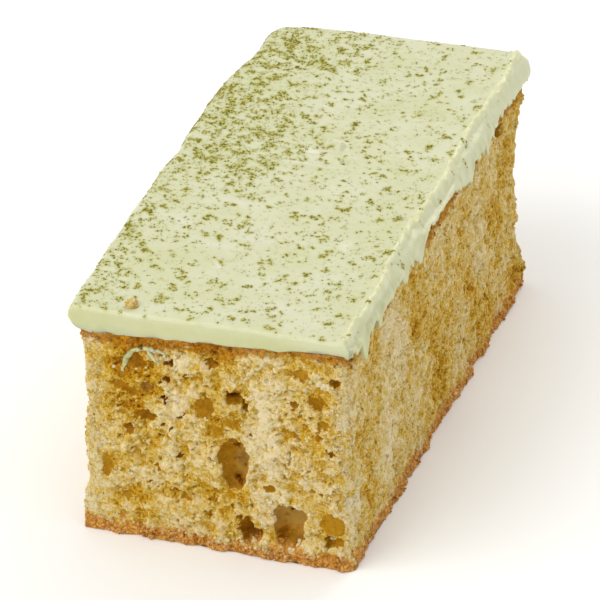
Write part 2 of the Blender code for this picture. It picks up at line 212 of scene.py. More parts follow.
def depth_in_bubbles(points, inwards, spacing, smallest, largest, share, seed):
    """How far each point must go inwards to reach the back of the round bubble that it lies in.
    The bubbles' spacing and radii are in MM."""
    spacing, smallest, largest = spacing * MM, smallest * MM, largest * MM
    base = np.floor(points / spacing)
    deepest = np.zeros(len(points))
    for step in product((-1, 0, 1), repeat=3):
        cell = base + step
        place = np.stack([draw_for(cell, seed + k) for k in range(3)], axis=-1)
        radius = smallest + (largest - smallest) * draw_for(cell, seed + 3) ** 2
        away = (cell + place) * spacing - points
        along = np.sum(away * inwards, axis=-1)
        beside = np.sum(away * away, axis=-1) - along**2
        half = np.sqrt(np.maximum(radius**2 - beside, 0.0))
        is_open = (draw_for(cell, seed + 4) < share) & (half > 0) & (along < half)
        deepest = np.where(is_open, np.maximum(deepest, along + half), deepest)
    return deepest


def round_corner(x, y, corner_x, corner_y, radius, side, end):
    """Moves points of the square upright corner at (corner_x, corner_y) onto a round one."""
    across = np.clip(side * (x - corner_x) / radius + 1.0, 0.0, 1.0)
    along = np.clip(end * (y - corner_y) / radius + 1.0, 0.0, 1.0)
    new_across = across * np.sqrt(1.0 - along * along / 2.0)
    new_along = along * np.sqrt(1.0 - across * across / 2.0)
    return x + side * (new_across - across) * radius, y + end * (new_along - along) * radius


def get_places(mesh):
    places = np.empty(len(mesh.vertices) * 3)
    mesh.vertices.foreach_get("co", places)
    return places.reshape(-1, 3)


def set_places(mesh, places):
    mesh.vertices.foreach_set("co", places.ravel())
    mesh.update()


def keep_values(mesh, name, values):
    """Keeps one number for each vertex, under a name that the material reads."""
    mesh.attributes.new(name, "FLOAT", "POINT").data.foreach_set("value", values)


def divide_edges(*parts):
    """Cuts the edges along X, Y and Z into equal parts, as many as their counts multiply to."""
    mesh = bpy.context.object.data
    bpy.ops.object.mode_set(mode="EDIT")
    bpy.ops.mesh.select_mode(type="EDGE")
    for axis, count in ((axis, count) for axis, counts in enumerate(parts) for count in counts):
        bpy.ops.mesh.select_all(action="DESELECT")
        bpy.ops.object.mode_set(mode="OBJECT")
        places = get_places(mesh)
        ends = np.empty(len(mesh.edges) * 2, dtype=np.int32)
        mesh.edges.foreach_get("vertices", ends)
        runs = np.abs(places[ends[0::2]] - places[ends[1::2]])
        mesh.edges.foreach_set("select", np.argmax(runs, axis=1) == axis)
        bpy.ops.object.mode_set(mode="EDIT")
        bpy.ops.mesh.subdivide(number_cuts=count - 1)
    bpy.ops.object.mode_set(mode="OBJECT")


sponge = add_shape(bpy.ops.mesh.primitive_cube_add, "sponge_crumb", size=2.0)
divide_edges(PARTS_ACROSS, PARTS_ALONG, PARTS_UP)

# The cube, 2 across and centred on 0, becomes the block of sponge. Its top swells where the drips
# of icing end higher.
unit = get_places(sponge.data)
side = np.where(np.abs(unit[:, :2]) > 0.9999, np.sign(unit[:, :2]), 0.0)
x = unit[:, 0] * WIDTH / 2
y = unit[:, 1] * LENGTH / 2
top = HEIGHT + RISE_TO_RIGHT * unit[:, 0]
top += 1.1 * MM * smooth_step(0.8, 0.93, unit[:, 0]) * mound(y + 1.5 * MM, 9.0 * MM)
z = top * (unit[:, 2] + 1.0) / 2
walls = np.flatnonzero(np.any(side != 0, axis=1))

# Its walls stand in from the foot's outline, and lean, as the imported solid's do.
above_foot = smooth_step(FOOT_HEIGHT, WALL_STARTS, z)
near_top = smooth_step(0.75 * HEIGHT, HEIGHT, z)
to_right, to_left = smooth_step(0.8, 1.0, unit[:, 0]), smooth_step(0.8, 1.0, -unit[:, 0])
to_back = smooth_step(0.9, 1.0, unit[:, 1])
stands_in = np.zeros((len(unit), 2))
still_there = CRUMB_LEFT * mound(z - 0.9 * HEIGHT, 0.1 * HEIGHT) * smooth_step(0.8, 1.0, unit[:, 1])
stands_in[:, 0] -= to_right * (LEAN_RIGHT * z / HEIGHT - still_there)
stands_in[:, 0] += to_right * 0.6 * MM * smooth_step(HEIGHT - 6.0 * MM, HEIGHT - 1.0 * MM, z)
stands_in[:, 0] += to_left * FOOT_SPREAD * (0.85 * above_foot - 0.9 * near_top)
stands_in[:, 1] -= to_back * FOOT_SPREAD * (1.4 * above_foot - 0.6 * near_top)
stands_in[:, 0] -= to_back * to_right * CORNER_CRUMBLED * (above_foot - near_top)

block = np.stack([x, y, z], axis=-1)
relief = np.zeros(len(unit))
for i in walls:
    point = Vector(block[i])
    large = noise.noise(point / LARGE_CRAG)
    small = noise.noise(point / SMALL_CRAG + Vector((7.3, 1.9, 4.1)))
    relief[i] = (1.5 * large + 1.1 * small - 0.15) * MM
deepest = CRAG_IN * (0.25 + 0.75 * smooth_step(0.0, FOOT_HEIGHT, z))
deepest *= 0.2 + 0.8 * smooth_step(0.5 * MM, TOP_BAND, top - z)
relief = np.clip(relief, -deepest, CRAG_OUT * smooth_step(0.0, TOP_BAND, top - z))
relief *= np.where(side[:, 1] != 0, 0.45, 0.65)
outwards = side / np.maximum(np.linalg.norm(side, axis=1, keepdims=True), 1e-9)
for corner_side, end, radius in CORNERS:
    corner_x, corner_y = corner_side * WIDTH / 2, end * LENGTH / 2
    rounded = np.stack(round_corner(x, y, corner_x, corner_y, radius, corner_side, end), axis=-1)
    from_middle = rounded - np.array((corner_x - corner_side * radius, corner_y - end * radius))
    on_corner = np.all(from_middle * (corner_side, end) > 0, axis=1) & np.any(side != 0, axis=1)
    from_middle = from_middle[on_corner]
    outwards[on_corner] = from_middle / np.linalg.norm(from_middle, axis=1, keepdims=True)
    block[:, :2] += rounded - np.stack([x, y], axis=-1)
block[:, :2] += outwards * relief[:, None] + stands_in

# Then it opens, from the largest bubbles to the smallest. Each step starts from where the last one
# left the crumb, and hollow adds up how deep every point has sunk.
crumb = block[walls]
flat = crumb.copy()
inwards = -np.pad(outwards[walls], ((0, 0), (0, 1)))
at_front, at_right = side[walls, 1] < 0, side[walls, 0] > 0
on_cut_end = np.abs(side[walls, 1])
keep_rims = 0.35 + 0.65 * smooth_step(0.0, 1.0 * MM, (top - z)[walls])
keep_rims *= 0.7 + 0.3 * smooth_step(0.0, 1.0 * MM, crumb[:, 2])
to_corner = WIDTH / 2 - np.abs(x[walls]) + LENGTH / 2 - np.abs(y[walls])
keep_rims *= 0.5 + 0.5 * smooth_step(0.0, 2.0 * MM, to_corner)
hollow = np.zeros(len(walls))


def sink(amount):
    """Moves the crumb inwards, less at its top and foot, which the icing and the table cover."""
    global crumb, hollow
    amount = amount * keep_rims
    crumb = crumb + inwards * amount[:, None]
    hollow = hollow + amount


moist = (0.4 - 0.2 * at_front) * rough(flat, 16.0, 2, 71) + 0.18 * (1.0 - at_front)
for areas, here, run in ((FRONT_AREAS, at_front, 0), (RIGHT_AREAS, at_right, 1)):
    for place, up, reach, reach_up, strength in areas:
        bell = mound(flat[:, run] - place * MM, reach * MM)
        bell *= mound(flat[:, 2] - up * MM, reach_up * MM)
        moist += strength * bell * here

# How far the browned skin reaches down from the icing, or up from the table, in MM.
crust = 1.5 + 0.5 * rough(flat, 7.0, 2, 61)
deeper = 2.2 * mound(flat[:, 0] + 13.0 * MM, 6.0 * MM) + 2.0 * mound(flat[:, 0], 4.5 * MM)
crust += at_front * deeper
crust += at_right * (1.4 + 1.2 * mound(flat[:, 1] - 5.0 * MM, 12.0 * MM))
crust = np.where(flat[:, 2] < HEIGHT / 2, 2.4 + 1.1 * rough(flat, 3.0, 4, 62), crust)

torn = ragged(flat, 1.6, 0.45, 1)
more_torn = ragged(torn, 0.9, 0.6, 5)
inside, brown_and_shade, beige = np.zeros((3, len(walls)))
# Each lobe's brown amount darkens its wall, partly as painted shade in the hole.
for across, up, width, height, depth, inner_brown_and_shade, *inner_beige in FRONT_LOBES:
    shape = torn if width * height > 14 else more_torn
    run = (shape[:, 0] - across * MM) / (width * MM / 2)
    rise = (shape[:, 2] - up * MM) / (height * MM / 2)
    round_wall = np.maximum(1.0 - rise**2 - run**2, 0.0) * at_front
    sink(np.maximum(depth * MM * np.sqrt(round_wall) - hollow, 0.0))
    here = smooth_step(0.0, 0.25, round_wall)
    inside = np.maximum(inside, here)
    brown_and_shade += (inner_brown_and_shade - brown_and_shade) * here
    beige += (sum(inner_beige) - beige) * here

fewer_on_sides = 0.3 + 0.7 * on_cut_end
torn = ragged(crumb, 2.0, 0.6, 11)
share = np.where(at_front, 0.03, 0.35) * fewer_on_sides  # the front's large ones are listed
found = depth_in_bubbles(torn, inwards, 5.5, 0.7, 1.7, share, 101)
sink(found)
here = smooth_step(0.1 * MM, 0.7 * MM, found)
inside = np.maximum(inside, here)
# Open bubbles are painted browner inside, partly as painted shade.
brown_and_shade = np.maximum(brown_and_shade, 0.35 * here)
big_hollow = hollow
front_left = at_front * smooth_step(-18.0 * MM, -22.0 * MM, x[walls])
softer = (1.0 - 0.85 * inside) * (1.0 - 0.6 * front_left)
flake = rough(crumb, 3.4, 6, 21) + 0.3 * moist - 0.04
sink(0.5 * MM * smooth_step(0.0, 0.05, flake) * (0.45 + 0.55 * on_cut_end) * softer)
small_flake = rough(crumb, 1.5, 4, 31) + 0.12 * moist
sink(0.26 * MM * smooth_step(0.0, 0.08, small_flake) * softer)
torn = ragged(crumb, 1.2, 0.25, 41)
share = 0.26 * fewer_on_sides * softer
found = depth_in_bubbles(torn, inwards, 2.2, 0.25, 0.7, share, 121)
sink(found)
here = smooth_step(0.1 * MM, 0.6 * MM, found)
inside = np.maximum(inside, here)
# Open bubbles are painted browner inside, partly as painted shade.
brown_and_shade = np.maximum(brown_and_shade, 0.4 * here)
found = depth_in_bubbles(crumb, inwards, 1.2, 0.14, 0.4, 0.35 * softer, 141)
sink(0.7 * found)
foot_lumps = 1.0 + 1.8 * smooth_step(3.5 * MM, 1.5 * MM, flat[:, 2])
sink(0.12 * MM * foot_lumps * rough(crumb, 0.8, 2, 51))
# dip is how far the small flakes and bubbles sank; the material paints the crumb deeper in colour
# by it, as painted shade.
dip = (hollow - big_hollow) * (1.0 - inside)

block[walls] = crumb
set_places(sponge.data, block + np.array(SPONGE_MIDDLE))
kept = {"dip": dip / MM, "moist": moist, "crust": crust}
kept |= {"inside": inside, "brown_and_shade": brown_and_shade, "beige": beige}
for name, values in kept.items():
    everywhere = np.zeros(len(unit))
    everywhere[walls] = values
    keep_values(sponge.data, name, everywhere)

# Faces are merged where the surface is flattest, until MOST_TRIANGLES are left.
sponge.data.calc_loop_triangles()
thin = sponge.modifiers.new("fewer faces", "DECIMATE")
thin.ratio = min(1.0, MOST_TRIANGLES / len(sponge.data.loop_triangles))
bpy.ops.object.modifier_apply(modifier=thin.name)
sponge.data.shade_smooth()


def tint(red, green, blue):
    """A colour, each part from 0 to 255, in the form that a material takes."""
    parts = (red / 255, green / 255, blue / 255)
    return (*(((c + 0.055) / 1.055) ** 2.4 if c > 0.04 else c / 12.92 for c in parts), 1.0)


def add_node(tree, kind, inputs, **settings):
    """Adds a shader node with its settings and inputs."""
    made = tree.nodes.new(kind)
    for name, value in settings.items():
        setattr(made, name, value)
    set_inputs(made, inputs)
    return made


def add_math(tree, operation, *values):
    made = add_node(tree, "ShaderNodeMath", dict(enumerate(values)), operation=operation)
    return made.outputs[0]


def add_sum(tree, base, *weighted):
    """Base plus each (value, weight) pair's product."""
    for value, weight in weighted:
        base = add_math(tree, "MULTIPLY_ADD", value, weight, base)
    return base


def add_ramp(tree, factor, *stops):
    """A colour ramp with the given (position, colour) stops."""
    made = add_node(tree, "ShaderNodeValToRGB", {"Fac": factor})
    while len(made.color_ramp.elements) < len(stops):
        made.color_ramp.elements.new(0.5)
    for element, (position, colour) in zip(made.color_ramp.elements, stops):
        element.position = position
        element.color = colour
    return made.outputs["Color"]


def add_mix(tree, factor, first, second, share=1.0):
    """Mixes two colours, with the second one's part being factor times share."""
    if share != 1.0:
        factor = add_math(tree, "MULTIPLY", factor, share)
    made = add_node(tree, "ShaderNodeMix", {0: factor, 6: first, 7: second}, data_type="RGBA")
    return made.outputs[2]


def add_noise(tree, place, size, detail=2.0, roughness=0.55):
    """Noise around 0, with features of the given size in MM."""
    inputs = {"Vector": place, "Scale": 1.0 / (size * MM), "Detail": detail, "Roughness": roughness}
    made = add_node(tree, "ShaderNodeTexNoise", inputs)
    return add_math(tree, "SUBTRACT", made.outputs["Fac"], 0.5)


def add_step(tree, value, start, end):
    """0 before start, 1 after end, and an S between them."""
    inputs = {"Value": value, "From Min": start, "From Max": end}
    made = add_node(tree, "ShaderNodeMapRange", inputs, interpolation_type="SMOOTHSTEP")
    return made.outputs["Result"]


def add_kept(tree, name):
    """The number that keep_values keeps under this name."""
    return add_node(tree, "ShaderNodeAttribute", {}, attribute_name=name).outputs["Fac"]


def add_bumps(tree, shader, height, strength, distance):
    inputs = {"Height": height, "Strength": strength, "Distance": distance}
    made = add_node(tree, "ShaderNodeBump", inputs)
    set_inputs(shader, {"Normal": made.outputs["Normal"]})


def new_material(name):
    """A material, its tree, its Object coordinates and its Principled shader."""
    made = bpy.data.materials.new(name)
    made.use_nodes = True
    tree = made.node_tree
    place = tree.nodes.new("ShaderNodeTexCoord").outputs["Object"]
    return made, tree, place, tree.nodes["Principled BSDF"]


# Torn crumb is a mass of small rounded grains. The group gives the height of the grains, the gaps
# between them, a random tone for each grain, and pinholes. The material paints the gaps and the
# pinholes darker, as painted shade.
GRAIN_SIZE = 0.55 * MM

grain_group = tree = bpy.data.node_groups.new("crumb grain", "ShaderNodeTree")
tree.interface.new_socket("Place", in_out="INPUT", socket_type="NodeSocketVector")
tree.interface.new_socket("Size", in_out="INPUT", socket_type="NodeSocketFloat")
for output in ("Height", "Gap", "Shade", "Pinhole"):
    tree.interface.new_socket(output, in_out="OUTPUT", socket_type="NodeSocketFloat")
given = tree.nodes.new("NodeGroupInput").outputs
per_grain = add_math(tree, "DIVIDE", 1.0, given["Size"])
waves = {"Vector": given["Place"], "Scale": add_math(tree, "MULTIPLY", per_grain, 0.9)}
waves = add_node(tree, "ShaderNodeTexNoise", waves | {"Detail": 2.0})
shift_by = {0: waves.outputs["Color"], "Scale": add_math(tree, "MULTIPLY", given["Size"], 0.9)}
shift = add_node(tree, "ShaderNodeVectorMath", shift_by, operation="SCALE").outputs[0]
moved = {0: given["Place"], 1: shift}
moved = add_node(tree, "ShaderNodeVectorMath", moved, operation="ADD").outputs[0]
grains = add_node(tree, "ShaderNodeTexVoronoi", {"Vector": moved, "Scale": per_grain}).outputs
round_top = add_math(tree, "MULTIPLY", grains["Distance"], grains["Distance"])
picks = add_node(tree, "ShaderNodeSeparateColor", {"Color": grains["Color"]}).outputs
pore_scale = add_math(tree, "MULTIPLY", per_grain, 0.42)
pores = add_node(tree, "ShaderNodeTexVoronoi", {"Vector": moved, "Scale": pore_scale}).outputs
pore_pick = add_node(tree, "ShaderNodeSeparateColor", {"Color": pores["Color"]}).outputs["Red"]
pore_size = add_math(tree, "MULTIPLY_ADD", pore_pick, 0.42, -0.22)
is_pore = add_math(tree, "SUBTRACT", pore_size, pores["Distance"])
handed = {
    "Height": add_sum(tree, 1.0, (round_top, -1.1), (picks["Green"], 0.35)),
    "Gap": add_step(tree, grains["Distance"], 0.35, 0.85),
    "Shade": picks["Red"],
    "Pinhole": add_step(tree, is_pore, 0.0, 0.06),
}
add_node(tree, "NodeGroupOutput", handed)

crumb_finish, tree, place, shader = new_material("sponge crumb")
axes = add_node(tree, "ShaderNodeSeparateXYZ", {"Vector": place}).outputs
dip_shade_here, moist_here, crust_here, inside_here, brown_and_shade_here, beige_here = (
    add_kept(tree, name) for name in kept
)
grain_inputs = {"Place": place, "Size": GRAIN_SIZE}
grain = add_node(tree, "ShaderNodeGroup", grain_inputs, node_tree=grain_group).outputs
fine = add_noise(tree, place, 0.3)
middling = add_noise(tree, place, 1.6, 5.0, 0.7)
chipped = add_step(tree, add_noise(tree, place, 1.3, 5.0, 0.72), 0.015, 0.05)
patches = add_noise(tree, place, 3.6)
pitted = add_step(tree, add_noise(tree, place, 5.0), -0.04, 0.1)
pinholes = add_math(tree, "MULTIPLY", grain["Pinhole"], pitted)

# Dry tips are pale, and moist crumb is gold to amber. Low crumb is painted deeper in colour as
# painted shade: the small hollows that dip measures, the chipped pits, the gaps between grains and
# the pinholes. Between them show the grains.
noises = (fine, 0.75), (middling, 0.42), (patches, 0.33)
grain_tone_and_shade = (grain["Gap"], 0.14), (grain["Shade"], -0.14), (pinholes, 0.65)
torn_crumb = add_sum(tree, 0.0, (chipped, 0.18), *grain_tone_and_shade, *noises)
smooth_wall = add_sum(tree, 1.0, (inside_here, -0.6))
depth = add_sum(tree, 0.16, (moist_here, 0.36), (dip_shade_here, 0.46), (torn_crumb, smooth_wall))
dry = (0.0, tint(221, 205, 166)), (0.2, tint(214, 194, 140)), (0.4, tint(205, 173, 82))
wet = (0.6, tint(191, 148, 22)), (0.8, tint(165, 111, 3)), (1.0, tint(116, 62, 0))
colour = add_ramp(tree, depth, *dry, *wet)

# The walls of open bubbles are smooth and deeper in colour: amber or beige, brown where deepest and
# in pinholes. The deeper colour inside and the brown are partly painted shade in the holes.
wall_brown_and_shade = add_sum(tree, brown_and_shade_here, (fine, 0.6), (middling, 0.9), (pinholes, 0.35))
amber = (0.0, tint(184, 141, 28)), (0.35, tint(162, 112, 8))
dark = (0.65, tint(130, 78, 1)), (1.0, tint(80, 36, 0))
wall_colour = add_ramp(tree, wall_brown_and_shade, *amber, *dark)
wall_colour = add_mix(tree, beige_here, wall_colour, tint(160, 127, 62), 0.75)
torn_rim = add_step(tree, add_sum(tree, inside_here, (middling, 0.7), (fine, 0.4)), 0.3, 0.55)
colour = add_mix(tree, torn_rim, colour, wall_colour)

# The browned skin: an uneven amber band under the icing, and an orange one along the foot.
top_here = add_sum(tree, HEIGHT, (axes["X"], RISE_TO_RIGHT / (WIDTH / 2)))
under_icing = add_math(tree, "SUBTRACT", top_here, axes["Z"])
top_edge = add_sum(tree, under_icing, (middling, -0.006), (crust_here, -0.001))
top_skin = add_step(tree, top_edge, 0.0004, -0.0005)
dark_grain = add_sum(tree, fine, (middling, 0.8), (grain["Shade"], 0.2))
dark_grain = add_step(tree, dark_grain, -0.15, 0.3)
top_brown = add_mix(tree, dark_grain, tint(128, 73, 2), tint(194, 134, 20))
colour = add_mix(tree, top_skin, colour, top_brown, 0.9)
foot_edge = add_sum(tree, axes["Z"], (middling, -0.009), (fine, -0.002), (crust_here, -0.001))
foot_skin = add_step(tree, foot_edge, 0.0004, -0.0004)
foot_brown = add_mix(tree, dark_grain, tint(158, 92, 18), tint(224, 164, 78))
colour = add_mix(tree, foot_skin, colour, foot_brown, 0.9)
roughness = add_sum(tree, 0.62, (grain["Shade"], -0.3), (fine, 0.3))
set_inputs(shader, {"Base Color": colour, "Roughness": roughness, "Specular IOR Level": 0.08})
see_through = {"Subsurface Weight": 0.65, "Subsurface Radius": (1.0, 0.66, 0.2)}
set_inputs(shader, see_through | {"Subsurface Scale": 0.6 * MM})
grain_height = add_sum(tree, grain["Height"], (fine, 0.8), (pinholes, -1.0), (chipped, -0.4))
add_bumps(tree, shader, add_math(tree, "MULTIPLY", grain_height, smooth_wall), 0.6, 0.11 * MM)
sponge.data.materials.append(crumb_finish)
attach(sponge, "root")
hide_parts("sponge")

# ------------ the icing
# The icing is white chocolate coloured with green tea, poured on the sheet and spread with a
# palette knife. It set soft and satiny. The knife that cut the bar sheared it at the front, and
# dragged it down over the right side, where it left a pale ridge, ragged drips and spikes.

FRONT = -LENGTH / 2 - 0.15 * MM
BACK = LENGTH / 2 + 3.4 * MM
BACK_BOW = 2.6 * MM
LEFT = -WIDTH / 2 - 2.7 * MM
CREST, CREST_HEIGHT = 22.2 * MM, 0.6 * MM
SIDE_OUT, SIDE_IN = 24.7 * MM, 22.9 * MM
FOOT_LINE = 43.0 * MM
EDGE_ROUND, CUT_ROUND = 3.0 * MM, 0.45 * MM
TUCKED, UNDER_TUCKED = 0.15 * MM, 0.45 * MM  # how far back the sheared face and what is under it go
LEFT_CORNER, RIGHT_CORNER = 6.5 * MM, 2.4 * MM
UNDER_POINTS, ROUND_POINTS, TOP_POINTS, RIDGE_POINTS = 22, 16, 128, 34
FACE_RINGS, EDGE_RINGS, BACK_RINGS, ALL_RINGS = 10, 5, 16, 321

# Drips down the right side, in MM: place along Y, how far down, or up below 0, and half width.
DRIPS = (
    (-46, 4.2, 1.3), (-37.5, 2, 1.1), (-22.5, 2.2, 1.3), (-14, 3, 1.8), (14.5, 2.2, 2.6),
    (18, 3.2, 1.2), (28, 2.4, 1.2), (-50.5, 0.9, 0.5), (-42.5, 0.8, 0.4), (-30.5, 0.8, 0.5),
    (-27.2, 0.6, 0.4), (-18.6, 1, 0.5), (-8.5, -1.6, 2.2), (-2, -1.3, 4), (6, -0.9, 3),
    (10.5, 0.8, 0.5), (22.6, 1.4, 0.6), (25, 1.2, 0.5), (31.5, 1, 0.5), (38.5, -1, 4),
)

# Marks that the palette knife left in the top, in MM: X, Y, height, and reach in X and Y.
MARKS = (
    (1.6, 11.3, 1.7, 0.8, 1.1), (0.2, 13.4, 0.8, 1.5, 0.7), (-1.9, 10.6, -0.9, 2.2, 3),
    (-3.5, 4, 0.6, 5.5, 0.9), (-2.6, 5.8, -0.4, 4.5, 0.9), (3.9, 6.8, -1.3, 0.7, 0.6),
    (4.2, 8.2, 0.6, 1.1, 0.5), (-4, -20.6, -0.6, 5, 4.4), (-2, -23.2, -0.25, 2.2, 1),
    (-9.2, -27.2, -0.3, 3, 1.6), (-5.5, -34.2, -0.5, 1.3, 1.5), (12.5, -22, 0.3, 1.2, 2.4),
    (-9, -12, -0.2, 4, 1.6), (-17, -21, -0.2, 2, 3), (9, -45, -0.2, 5, 3.5),
)


def sponge_top(x):
    return HEIGHT + RISE_TO_RIGHT * x / (WIDTH / 2)


def waver(values, size, seed):
    """Uneven waves along a row of values, from about -1 to 1, longest at this size in MM."""
    places = (Vector((value / (size * MM), seed * 5.3, 0.5)) for value in values)
    return np.array([noise.fractal(place, 0.8, 2.0, 3) for place in places])


def left_edge(y):
    at_front = 0.7 * smooth_step(-22.0 * MM, -50.0 * MM, y)
    at_back = 2.3 * smooth_step(31.0 * MM, 46.0 * MM, y)
    bay = 0.4 * mound(y - 7.0 * MM, 5.0 * MM)
    return LEFT + (at_front + at_back + bay + 0.12 * np.sin(y / (2.3 * MM))) * MM


def back_edge(x):
    return BACK - BACK_BOW * ((x - 9.0 * MM) / (36.0 * MM)) ** 2


def icing_top(x, y):
    """Height of the spread top, without the ridge and the rounded edges."""
    along = np.clip((y - FRONT) / (BACK - FRONT), 0.0, 1.0)
    height = 45.6 * MM + 0.35 * MM * x / (WIDTH / 2) + 1.3 * MM * along**1.3
    height += 0.22 * MM * np.sin(x / (7.5 * MM) + 0.8) * np.sin(y / (11.0 * MM) + 0.4)
    for mark_x, mark_y, tall, reach_x, reach_y in MARKS:
        over_x = tall * MM * mound(x - mark_x * MM, reach_x * MM)
        height += over_x * mound(y - mark_y * MM, reach_y * MM)
    return height


def curve_through(keys, count):
    """Points along a smooth curve through the keys, each of which is an array of X and of Z."""
    keys = np.array([keys[0], *keys, keys[-1]])
    rows = []
    for step in np.linspace(0.0, len(keys) - 3 - 1e-9, count):
        k, t = int(step), step % 1.0
        a, b, c, d = keys[k : k + 4]
        bend = 2 * b + (c - a) * t + (2 * a - 5 * b + 4 * c - d) * t**2
        rows.append((bend + (3 * b - a - 3 * c + d) * t**3) / 2)
    return rows


def crest_line(y):
    """Where the ridge runs, across the bar."""
    towards_front = 0.7 * MM * smooth_step(-15.0 * MM, -45.0 * MM, y)
    return CREST + towards_front + 0.3 * MM * np.sin(y / (6.3 * MM) + 1.0)


def cross_sections(y):
    """The icing's cross-section at each y: a list of (x, z) arrays, one for each point round it."""
    left = left_edge(y)
    crest = crest_line(y) + 0.35 * MM * waver(y, 4.5, 1) + 0.12 * MM * waver(y, 1.4, 6)
    tall = CREST_HEIGHT * (1.1 + 0.9 * waver(y, 4.0, 2) + 0.5 * waver(y, 1.3, 7))
    even_foot = FOOT_LINE
    for place, deep, half in DRIPS:
        even_foot = even_foot - deep * MM * mound(y - place * MM, half * MM)
    foot = even_foot - 0.7 * MM * waver(y, 1.6, 3) - 0.5 * MM * waver(y, 0.5, 4)
    reach = EDGE_ROUND * 0.75
    start, end = left + reach, crest - 1.9 * MM
    points = []
    for share in np.linspace(1.0, 0.0, UNDER_POINTS):
        x = start + (SIDE_IN - 0.4 * MM - start) * share
        points.append((x, sponge_top(x) - 0.2 * MM))
    upper, under = icing_top(start, y), sponge_top(start) + 0.3 * MM
    for turn in np.radians(np.linspace(-72.0, 80.0, ROUND_POINTS)):
        middle = (upper + under) / 2
        square = 1.0 - 0.45 * smooth_step(-28.0 * MM, -48.0 * MM, y) * (turn > 0)
        rise = np.sign(turn) * np.abs(np.sin(turn)) ** square * (upper - middle)
        points.append((left + reach * (1 - np.cos(turn) ** square), middle + rise))
    for share in np.linspace(0.0, 1.0, TOP_POINTS):
        x = start + (end - start) * share
        points.append((x, icing_top(x, y)))
    upper = icing_top(crest, y)
    out = SIDE_OUT + 0.15 * MM * waver(y, 2.4, 5)
    ridge = (
        (end, icing_top(end, y)),
        (crest - 0.8 * MM, upper + 0.25 * tall),
        (crest - 0.1 * MM, upper + tall),
        (crest + 0.5 * MM, upper + 0.35 * tall),
        (crest + 0.8 * MM, upper - 0.5 * MM),
        (out - 0.75 * MM, upper - 1.4 * MM),
        (out - 0.1 * MM, even_foot + 0.35 * (upper - even_foot)),
        (out - 0.05 * MM, foot + 0.4 * MM),
        (out - 0.35 * MM, foot),
        (SIDE_IN + 0.2 * MM, foot + 0.3 * MM),
        (SIDE_IN - 0.2 * MM, np.maximum(foot + 0.6 * MM, sponge_top(SIDE_IN) - 0.2 * MM)),
    )
    ridge = [np.array(np.broadcast_arrays(*key)) for key in ridge]
    points += curve_through(ridge, RIDGE_POINTS + 1)[1:]
    return [np.array(np.broadcast_arrays(*point)) for point in points]


ring_points = UNDER_POINTS + ROUND_POINTS + TOP_POINTS + RIDGE_POINTS
ring = {"vertices": ring_points, "radius": 1.0, "depth": 2.0}
icing = add_shape(bpy.ops.mesh.primitive_cylinder_add, "spread_icing", **ring)
divide_edges((), (), (16, 20))
unit = get_places(icing.data)
turn = np.arctan2(unit[:, 1], unit[:, 0])
point_number = np.round(turn / (2 * np.pi / ring_points)).astype(int) % ring_points
ring_number = np.round((unit[:, 2] + 1) / 2 * (ALL_RINGS - 1)).astype(int)

# The first rings widen over the sheared front face, the next few round its edge, and the last ones
# close up over the rounded back. How far each ring lies along the bar, from 0 to 1:
middle_rings = ALL_RINGS - FACE_RINGS - EDGE_RINGS - BACK_RINGS
cut_depth = CUT_ROUND * (1 - np.cos(np.linspace(0.0, np.pi / 2, EDGE_RINGS)))
back_depth = EDGE_ROUND * (1 - np.sin(np.linspace(0.0, np.pi / 2, BACK_RINGS)))
bar = BACK - FRONT
between = np.linspace(CUT_ROUND / bar, 1.0 - EDGE_ROUND / bar, middle_rings + 2)[1:-1]
ring_share = np.zeros(FACE_RINGS), cut_depth / bar, between, 1.0 - back_depth / bar
ring_share = np.concatenate(ring_share)
face_swell = np.ones(ALL_RINGS)
face_swell[:FACE_RINGS] = np.linspace(0.0, 1.0, FACE_RINGS) ** 1.6
sections = np.array(cross_sections(FRONT + ring_share * bar))
x, z = sections[point_number, 0, ring_number], sections[point_number, 1, ring_number]
share = ring_share[ring_number]
flat_y = FRONT + share * bar
y = FRONT + share * (back_edge(x) - FRONT)
upper, under = icing_top(x, flat_y), sponge_top(x) + 0.3 * MM
middle = (upper + under) / 2
to_back = np.clip((back_edge(x) - y) / EDGE_ROUND, 0.0, 1.0)
swell = np.where(share > 0.5, 0.15 + 0.85 * np.sqrt(1.0 - (1.0 - to_back) ** 2), 1.0)
z = middle + (z - middle) * swell
from_cut = np.clip((y - FRONT) / CUT_ROUND, 0.0, 1.0)
rounding = CUT_ROUND * (1.0 - np.sqrt(1.0 - (1.0 - from_cut) ** 2))
z = np.where(z > middle, z - rounding * (z - middle) / (upper - middle), z)
torn_foot = 0.6 * MM * waver(x, 2.2, 8) + 0.55 * MM * waver(x, 0.7, 9) + 0.1 * MM
torn_foot += 0.5 * MM * smooth_step(10.0 * MM, 22.0 * MM, x)
near_cut = smooth_step(3.0 * MM, 0.0, y - FRONT)
z = np.where(z < middle, z + torn_foot * near_cut, z)
first_full = (ring_number == FACE_RINGS) & (z < middle)
in_order = np.argsort(x[first_full])
low_edge = np.interp(x, x[first_full][in_order], z[first_full][in_order])
is_upper = z > middle
z = np.where(is_upper, low_edge + (z - low_edge) * face_swell[ring_number], z)
in_face = TUCKED * (1.0 - face_swell[ring_number]) ** 2
y = np.where(is_upper, y + in_face, np.maximum(y, FRONT + UNDER_TUCKED))
left_here = left_edge(flat_y)
x, y = round_corner(x, y, left_here, back_edge(left_here), LEFT_CORNER, -1, 1)
x, y = round_corner(x, y, SIDE_OUT, back_edge(SIDE_OUT), RIGHT_CORNER, 1, 1)
x, y = round_corner(x, y, SIDE_OUT, FRONT, 1.5 * MM, 1, -1)
skin = np.stack([x, y, z], axis=-1)

